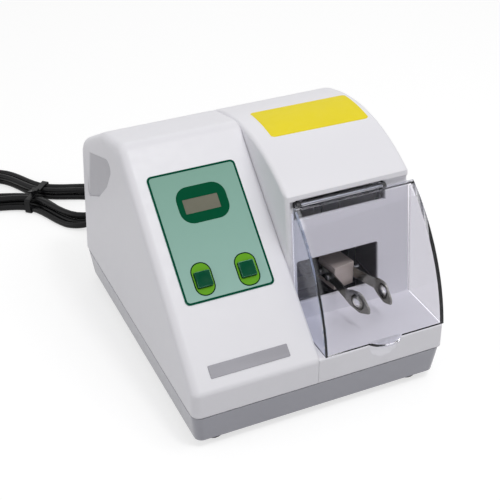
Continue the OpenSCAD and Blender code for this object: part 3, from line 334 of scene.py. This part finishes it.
def acrylic():
    """Clear moulding: it lets lamp light and bounced light through, and the camera sees real refraction.
    Its walls mirror little; its corners, rear edge, hinge barrel and pull tab mirror more and have their own tint.
    That tint paints shade and highlights: painted dark lines along the far right rim and the rear edge, and painted
    glints on a blue-grey band at the left front corner."""
    s = Shader("clear_acrylic")
    x, y, z = s.axes(s.pos)
    arc = s.distance(y, z, in_frame(COVER_CENTRE))
    left, right = s.span(x, 0.0028, 0.0034, 1, 0), s.span(x, 0.1062, 0.1070, 0, 1)
    corner = s.every(left, s.span(arc, 0.1532, 0.1542, 0, 1))
    far_corner = s.every(s.span(x, 0.1076, 0.1081, 0, 1), s.span(arc, 0.1550, 0.1555, 0, 1))
    barrel = s.span(s.distance(y, z, in_frame(COVER_HINGE)), 0.0044, 0.0048, 1, 0)
    tab = s.every(s.span(arc, 0.1561, 0.1565, 0, 1), s.span(z, 0.0605, 0.0612, 1, 0))
    lean = math.tan(BACK_LEAN)
    back = s.math("ADD", s.math("MULTIPLY", z, lean), (BACK_FOOT[0] - BACK_FOOT[1] * lean + SHIFT_Y) / 1000)
    rear = s.every(right, s.span(s.math("SUBTRACT", back, y), 0.0016, 0.0022, 1, 0))
    glint = s.every(s.span(s.noise(150, 3, 0.6), 0.5, 0.58, 0, 1), s.span(z, 0.115, 0.150, 1, 0.25))
    glinting = s.mix(glint, rgb(150, 168, 194), rgb(246, 248, 252))
    # painted shade: the right side panel is tinted grey
    colour = s.mix(right, rgb(241, 240, 244), rgb(202, 201, 206))
    colour = s.mix(left, colour, rgb(200, 206, 224))
    mirror = 0.0
    # painted dark lines at the far right rim and the rear edge, and painted glints at the left corner
    for mask, tone, share in ((corner, glinting, 0.4), (far_corner, rgb(110, 110, 116), 0.6),
                              (rear, rgb(140, 140, 146), 0.5), (barrel, rgb(196, 197, 206), 0.68),
                              (tab, rgb(238, 238, 246), 0.65)):
        colour = s.mix(mask, colour, tone)
        mirror = s.math("MAXIMUM", mirror, s.math("MULTIPLY", mask, share))
    s.link(colour, s.bsdf.inputs["Base Color"])
    s.bsdf.inputs["Transmission Weight"].default_value = 1.0
    s.bsdf.inputs["IOR"].default_value = 1.49
    ends = s.math("MAXIMUM", s.span(x, 0.0050, 0.0062, 1, 0), s.span(x, 0.1032, 0.1044, 0, 1))
    rim = s.every(ends, s.span(arc, 0.1505, 0.1520, 0, 1))
    bright = s.math("MAXIMUM", rim, s.span(mirror, 0.2, 0.5, 0, 1))
    s.link(s.mix(bright, (0.12, 0.12, 0.14, 1), (0.9, 0.9, 0.95, 1)), s.bsdf.inputs["Specular Tint"])
    s.link(s.span(s.noise(30, 4, 0.7), 0.35, 0.75, 0.008, 0.035), s.bsdf.inputs["Roughness"])
    bump = s.add("ShaderNodeBump")
    bump.inputs["Strength"].default_value = 0.05
    bump.inputs["Distance"].default_value = 0.0004
    s.link(s.noise(22, 2, 0.5), bump.inputs["Height"])
    s.link(bump.outputs[0], s.bsdf.inputs["Normal"])
    clear = s.add("ShaderNodeBsdfTransparent")
    clear.inputs[0].default_value = rgb(249, 249, 251)
    s.shade_by_ray(any_ray(s.t, "Is Shadow Ray", "Is Diffuse Ray"), s.bsdf.outputs[0], clear.outputs[0])
    return s


clear_acrylic = acrylic()

FINISH = {
    "base_tray": base_grey, "upper_housing": housing, "rubber_feet": rubber, "case_screws": steel,
    "membrane_panel": panel, "display_window": display, "lcd_module": lcd_grey, "control_board": board,
    "board_screws": steel, "tact_switches": dark, "set_button": button_green, "start_button": button_green,
    "clear_cover": clear_acrylic, "hinge_pin": steel, "hinge_blocks": dark, "cover_switch": dark,
    "drive_frame": iron, "frame_isolators": rubber, "motor_stator": laminate, "motor_end_caps": cap_metal,
    "motor_rotor": copper, "motor_shaft": steel, "shaft_bearings": steel, "skew_ball": steel, "arm_bearing": steel,
    "swing_arm": arm, "arm_guide": nylon, "fork_block": block, "left_fork_blade": left_spring,
    "right_fork_blade": right_spring, "fork_screws": steel, "transformer": core, "power_board": brown_board,
    "power_switch_body": dark, "power_rocker": dark, "fuse_holder": dark, "strain_relief": cord_black,
    "mains_lead": cord_black, "cord_hank": cord_black, "cord_tail": cord_black, "cord_tie": cord_black,
    "plug_body": cord_black, "plug_pins": brass,
}


def smooth_group():
    """Smooth shading that stops at edges sharper than an angle"""
    g = bpy.data.node_groups.new("smooth_by_angle", "GeometryNodeTree")
    g.interface.new_socket("Geometry", in_out="INPUT", socket_type="NodeSocketGeometry")
    g.interface.new_socket("Geometry", in_out="OUTPUT", socket_type="NodeSocketGeometry")
    gin, gout = g.nodes.new("NodeGroupInput"), g.nodes.new("NodeGroupOutput")
    face = g.nodes.new("GeometryNodeSetShadeSmooth")
    face.domain = "FACE"
    edge = g.nodes.new("GeometryNodeSetShadeSmooth")
    edge.domain = "EDGE"
    ang = g.nodes.new("GeometryNodeInputMeshEdgeAngle")
    flat = g.nodes.new("FunctionNodeCompare")
    flat.data_type = "FLOAT"
    flat.operation = "LESS_EQUAL"
    flat.inputs[1].default_value = SHARP
    for a, b in ((gin.outputs[0], face.inputs[0]), (face.outputs[0], edge.inputs[0]),
                 (ang.outputs[0], flat.inputs[0]), (flat.outputs[0], edge.inputs["Shade Smooth"]),
                 (edge.outputs[0], gout.inputs[0])):
        g.links.new(a, b)
    return g


SMOOTH = smooth_group()


def soften(ob):
    """Weld, smooth by angle and weight the normals by face area"""
    me = ob.data
    for name in ("custom_normal", "sharp_face", "sharp_edge"):
        if name in me.attributes:
            me.attributes.remove(me.attributes[name])
    w = ob.modifiers.new("weld", "WELD")
    w.merge_threshold = 2e-6
    n = ob.modifiers.new("smooth", "NODES")
    n.node_group = SMOOTH
    k = ob.modifiers.new("normals", "WEIGHTED_NORMAL")
    k.keep_sharp = True
    k.mode = "FACE_AREA"


for name, ob in nodes.items():
    ob.data.materials.clear()
    ob.data.materials.append(FINISH[name].m)
    soften(ob)


# ---------------------------------------------------------------- piece helpers
def piece(name, me, shader, body="case"):
    """Object of a mesh with one material, riding on a body"""
    ob = bpy.data.objects.new(name, me)
    scene.collection.objects.link(ob)
    me.materials.clear()
    me.materials.append(shader.m)
    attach(ob, body)
    return ob


def rounded(cx, cy, w, h, r):
    """Outline of a rectangle with round corners"""
    steps = 8
    pts = []
    for qx, qy, a0 in ((1, 1, 0), (-1, 1, 90), (-1, -1, 180), (1, -1, 270)):
        for i in range(steps + 1):
            a = math.radians(a0 + 90 * i / steps)
            pts.append((cx + qx * (w / 2 - r) + r * math.cos(a), cy + qy * (h / 2 - r) + r * math.sin(a)))
    return pts


# Millimetres on the slope, local Z out of it, to the frame
ON_SLOPE = Matrix.Scale(0.001, 4) @ Matrix.Translation((0, SHIFT_Y, LIP_Z)) @ Matrix.Rotation(SLOPE, 4, "X")


def plate(name, loops, h0, h1, shader, edge=0.05):
    """Plate on the slope, from height h0 to h1, with holes and a small rounded edge"""
    cu = bpy.data.curves.new(name, "CURVE")
    cu.dimensions = "2D"
    cu.fill_mode = "BOTH"
    cu.bevel_depth = edge
    cu.bevel_resolution = 2
    cu.offset = -edge
    cu.extrude = (h1 - h0) / 2 - edge
    for loop in loops:
        sp = cu.splines.new("POLY")
        sp.points.add(len(loop) - 1)
        for p, (x, y) in zip(sp.points, loop):
            p.co = (x, y, 0, 1)
        sp.use_cyclic_u = True
    tmp = bpy.data.objects.new(name + "_outline", cu)
    scene.collection.objects.link(tmp)
    me = bpy.data.meshes.new_from_object(tmp.evaluated_get(bpy.context.evaluated_depsgraph_get()))
    bpy.data.objects.remove(tmp)
    me.transform(ON_SLOPE @ Matrix.Translation((0, 0, (h0 + h1) / 2)))
    bm = bmesh.new()
    bm.from_mesh(me)
    bmesh.ops.remove_doubles(bm, verts=bm.verts, dist=1e-7)
    bmesh.ops.recalc_face_normals(bm, faces=bm.faces)
    bm.to_mesh(me)
    bm.free()
    piece(name, me, shader)


# ---------------------------------------------------------------- cord
CORD_D = 6.4
# The hank's middle on the bench, its heading in degrees, the length of its runs, and their share of half a turn
HANK_C, HANK_A, HANK_RUN, RUN_SHARE = (-118.0, 416.0), 138.0, 110.0, 0.56
# In turns: it spirals in as far as TURNS_IN, then out again on top, from HANK_START to HANK_END
TURNS_IN, HANK_START, HANK_END = 2.0, -0.06, 3.56
HANK_STEPS = 190


def ease(x):
    """0 to 1 with level ends"""
    return x * x * (3 - 2 * x)


def clamp(x):
    return min(1.0, max(0.0, x))


def hank(t):
    """Centreline of the hank: runs and folds of a dog-bone loop that spirals in, climbs and spirals out"""
    f = t - math.floor(t)
    side = 1 if f < 0.25 or f >= 0.75 else -1
    grow = (CORD_D + 1.3) * abs(t - TURNS_IN)
    fold, waist = 3 * CORD_D + grow, 3.6 + grow
    way, g = (-1, 4 * f) if f < 0.5 else (1, 4 * f - 2)
    half = HANK_RUN / 2
    if RUN_SHARE < g < 2 - RUN_SHARE:
        a = math.pi * (g - RUN_SHARE) / (2 - 2 * RUN_SHARE)
        along, across = half + fold * math.sin(a), fold * math.cos(a) * (1 if f < 0.5 else -1)
    else:
        along = half * (g if g <= RUN_SHARE else 2 - g) / RUN_SHARE
        across = side * (waist + (fold - waist) * ease(clamp(along / half)))
    layer = ease(clamp((t - TURNS_IN + 0.13) / 0.26))
    z = CORD_D / 2 + layer * (CORD_D + 0.6) + 1.2 * (1 - ease(clamp(along / half)))
    c, s = math.cos(math.radians(HANK_A)), math.sin(math.radians(HANK_A))
    x = way * along
    return Vector((HANK_C[0] - c * x - s * across, HANK_C[1] - s * x + c * across, z))


def flow(points, n):
    """Catmull-Rom curve through points"""
    p = [2 * points[0] - points[1]] + points + [2 * points[-1] - points[-2]]
    out = []
    for i in range(1, len(p) - 2):
        for k in range(n):
            t = k / n
            out.append(0.5 * (2 * p[i] + (p[i + 1] - p[i - 1]) * t
                              + (2 * p[i - 1] - 5 * p[i] + 4 * p[i + 1] - p[i + 2]) * t ** 2
                              + (3 * p[i] - p[i - 1] - 3 * p[i + 1] + p[i + 2]) * t ** 3))
    return out + [points[-1]]


LEAD = [(-45, 306, 46), (-45, 312, 46), (-45.7, 319.6, 44.5), (-47.5, 326.6, 41.3), (-50.1, 332.5, 36.9),
        (-53.4, 336.8, 31.7), (-57.2, 339.5, 26.4), (-61.6, 341, 21.2), (-66.6, 341.4, 16.5), (-72, 341.3, 12.8),
        (-77.4, 341.4, 10.2), (-82.8, 342.1, 8.2), (-88, 343.6, 6.8), (-93.2, 345.9, 5.6), (-98, 349.2, 4.7),
        (-102.5, 353.5, 3.9)]
TAIL = [(-57.3, 405.7, 10.4), (-50, 402.5, 9.6), (-43, 399.5, 8.6), (-35, 396, 8.6), (-27, 394, 10.5),
        (-19, 393, 12.6), (-12, 393, 13), (-5, 393, 13)]
loop = [hank(HANK_START + (HANK_END - HANK_START) * i / HANK_STEPS) for i in range(HANK_STEPS + 1)]
lead = flow([Vector(p) for p in LEAD] + [hank(t) for t in (-0.12, -0.095, -0.075)] + [loop[0]], 3)
tail = flow([loop[-1], hank(HANK_END + 0.03)] + [Vector(p) for p in TAIL], 3)
route = [Vector((p.x, p.y + SHIFT_Y, p.z)) / 1000 for p in lead[:-1] + loop[:-1] + tail]
cu = bpy.data.curves.new("mains_cord", "CURVE")
cu.dimensions = "3D"
cu.bevel_depth = CORD_D / 2000
cu.bevel_resolution = 6
cu.use_fill_caps = True
sp = cu.splines.new("POLY")
sp.points.add(len(route) - 1)
for p, v in zip(sp.points, route):
    p.co = (*v, 1)
cu.materials.append(cord_black.m)
cord = bpy.data.objects.new("mains_cord", cu)
scene.collection.objects.link(cord)
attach(cord, "case")
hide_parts("mains_lead", "cord_hank", "cord_tail")

# ---------------------------------------------------------------- control panel print, plate and label
PX, PS = -55.9, 121.5  # middle of the panel on the slope
INK = 0.52  # height of the prints' underside above the slope
plate("panel_border", [rounded(PX, PS, 74.8, 106.8, 3.9), rounded(PX, PS, 71.5, 103.5, 2.7)], INK, 0.70,
      border_green)
plate("display_bezel", [rounded(-54.7, 145.25, 41.8, 30.5, 11), rounded(PX, 144.5, 29.6, 12.0, 0.6)], INK, 0.72,
      bezel_green)
# each pad's middle and size, then the middle of its key
for tag, cx, cs, w, h, bx, bs in (("left", -74.0, 85.8, 16.6, 26.8, -74.0, 85.4),
                                  ("right", -37.1, 84.75, 17.8, 26.9, -37.3, 84.8)):
    plate(tag + "_pad_edge", [rounded(cx, cs, w + 0.4, h + 0.4, 8.2), rounded(cx, cs, w - 1.5, h - 1.5, 7.3)],
          INK, 0.70, outline_green)
    plate(tag + "_pad", [rounded(cx, cs, w - 1.4, h - 1.4, 7.3), rounded(bx, bs, 13.1, 13.1, 1.0)], INK, 0.68,
          lime)
plate("blank_plate", [rounded(-58.85, 15.2, 66.3, 10.2, 0.8)], -0.1, 0.5, plate_metal, edge=0.12)


def wrapped_label(name, x0, x1, y0, y1, r, tilt, thick, shader):
    """Sheet that follows the hood's curve about X, with round corners"""
    cy, cz, rad = HOOD_CENTRE[0] + SHIFT_Y, HOOD_CENTRE[1], HOOD_R
    a0, a1 = math.acos((y0 - HOOD_CENTRE[0]) / rad), math.acos((y1 - HOOD_CENTRE[0]) / rad)
    w, h = x1 - x0, (a0 - a1) * rad
    cx, ca = (x0 + x1) / 2, (a0 + a1) / 2
    bm = bmesh.new()
    rows, cols = 28, 40
    grids = []
    for lift in (thick, -0.12):  # the top, and an underside just below the hood's surface
        g = []
        for j in range(rows + 1):
            v = -h / 2 + h * j / rows
            e = max(0.0, abs(v) - (h / 2 - r))
            half = w / 2 - (r - math.sqrt(max(0.0, r * r - e * e)))
            row = []
            for i in range(cols + 1):
                u = -half + 2 * half * i / cols
                uu, vv = u * math.cos(tilt) - v * math.sin(tilt), u * math.sin(tilt) + v * math.cos(tilt)
                a = ca - vv / rad
                row.append(bm.verts.new(((cx + uu) / 1000, (cy + (rad + lift) * math.cos(a)) / 1000,
                                         (cz + (rad + lift) * math.sin(a)) / 1000)))
            g.append(row)
        grids.append(g)
    top, low = grids
    for j in range(rows):
        for i in range(cols):
            bm.faces.new((top[j][i], top[j][i + 1], top[j + 1][i + 1], top[j + 1][i]))
            bm.faces.new((low[j][i], low[j + 1][i], low[j + 1][i + 1], low[j][i + 1]))
    rim = ([(0, i) for i in range(cols)] + [(j, cols) for j in range(rows)] + [(rows, i) for i in range(cols, 0, -1)]
           + [(j, 0) for j in range(rows, 0, -1)])
    for a, b in zip(rim, rim[1:] + rim[:1]):
        bm.faces.new((top[a[0]][a[1]], low[a[0]][a[1]], low[b[0]][b[1]], top[b[0]][b[1]]))
    bmesh.ops.recalc_face_normals(bm, faces=bm.faces)
    me = bpy.data.meshes.new(name)
    bm.to_mesh(me)
    bm.free()
    soften(piece(name, me, shader))


wrapped_label("hood_label", 12.5, 100.7, 122.6, 167.8, 2.5, math.radians(-1.0), 0.12, yellow)


# ---------------------------------------------------------------- floor, world and lamps
def studio_floor():
    """Near white where it is seen, with the object's shadow, and plain grey to bounced light"""
    s = Shader("floor")
    lit = s.add("ShaderNodeBsdfDiffuse")
    lit.inputs[0].default_value = (0.42, 0.42, 0.42, 1)
    glow = s.add("ShaderNodeEmission")
    glow.inputs[0].default_value = (1, 1, 1, 1)
    glow.inputs[1].default_value = 0.66
    both = s.add("ShaderNodeAddShader")
    s.link(lit.outputs[0], both.inputs[0])
    s.link(glow.outputs[0], both.inputs[1])
    plain = s.add("ShaderNodeBsdfDiffuse")
    drift = s.mix(s.span(s.noise(2.0, 2, 0.5), 0.3, 0.7, 0, 1), (0.56, 0.56, 0.57, 1), (0.6, 0.6, 0.61, 1))
    s.link(drift, plain.inputs[0])
    s.shade_by_ray(any_ray(s.t, *SEEN), plain.outputs[0], both.outputs[0])
    return s.m


me = bpy.data.meshes.new("floor")
me.from_pydata([(-6, -6, 0), (6, -6, 0), (6, 6, 0), (-6, 6, 0)], [], [(0, 1, 2, 3)])
floor = bpy.data.objects.new("floor", me)
scene.collection.objects.link(floor)
me.materials.append(studio_floor())

world = bpy.data.worlds.new("studio")
scene.world = world
world.use_nodes = True
wt = world.node_tree
wt.nodes.clear()
wo = wt.nodes.new("ShaderNodeOutputWorld")
mixed = wt.nodes.new("ShaderNodeMixShader")
wt.links.new(any_ray(wt, *SEEN), mixed.inputs[0])
for socket, strength in ((1, 0.48), (2, 1.0)):  # as a light, and as it is seen
    sky = wt.nodes.new("ShaderNodeBackground")
    sky.inputs[0].default_value = (1, 1, 1, 1)
    sky.inputs[1].default_value = strength
    wt.links.new(sky.outputs[0], mixed.inputs[socket])
wt.links.new(mixed.outputs[0], wo.inputs[0])


def lamp(name, at, to, size, power):
    """White area lamp, aimed"""
    li = bpy.data.lights.new(name, "AREA")
    li.shape = "RECTANGLE"
    li.size, li.size_y = size
    li.energy = power
    ob = bpy.data.objects.new(name, li)
    scene.collection.objects.link(ob)
    ob.location = at
    ob.rotation_euler = (Vector(to) - Vector(at)).to_track_quat("-Z", "Y").to_euler()


lamp("key", (0.34, -0.62, 1.55), (0, 0, 0.1), (1.0, 0.8), 6.6)
lamp("spot", (0.14, -0.66, 1.55), (0.05, -0.1, 0.1), (0.2, 0.2), 4.2)
lamp("side", (-1.7, 0.25, 0.75), (0, 0.05, 0.1), (0.9, 0.9), 3.6)
lamp("back", (0.7, 1.3, 1.2), (0, 0.05, 0.12), (1.0, 0.6), 1.8)
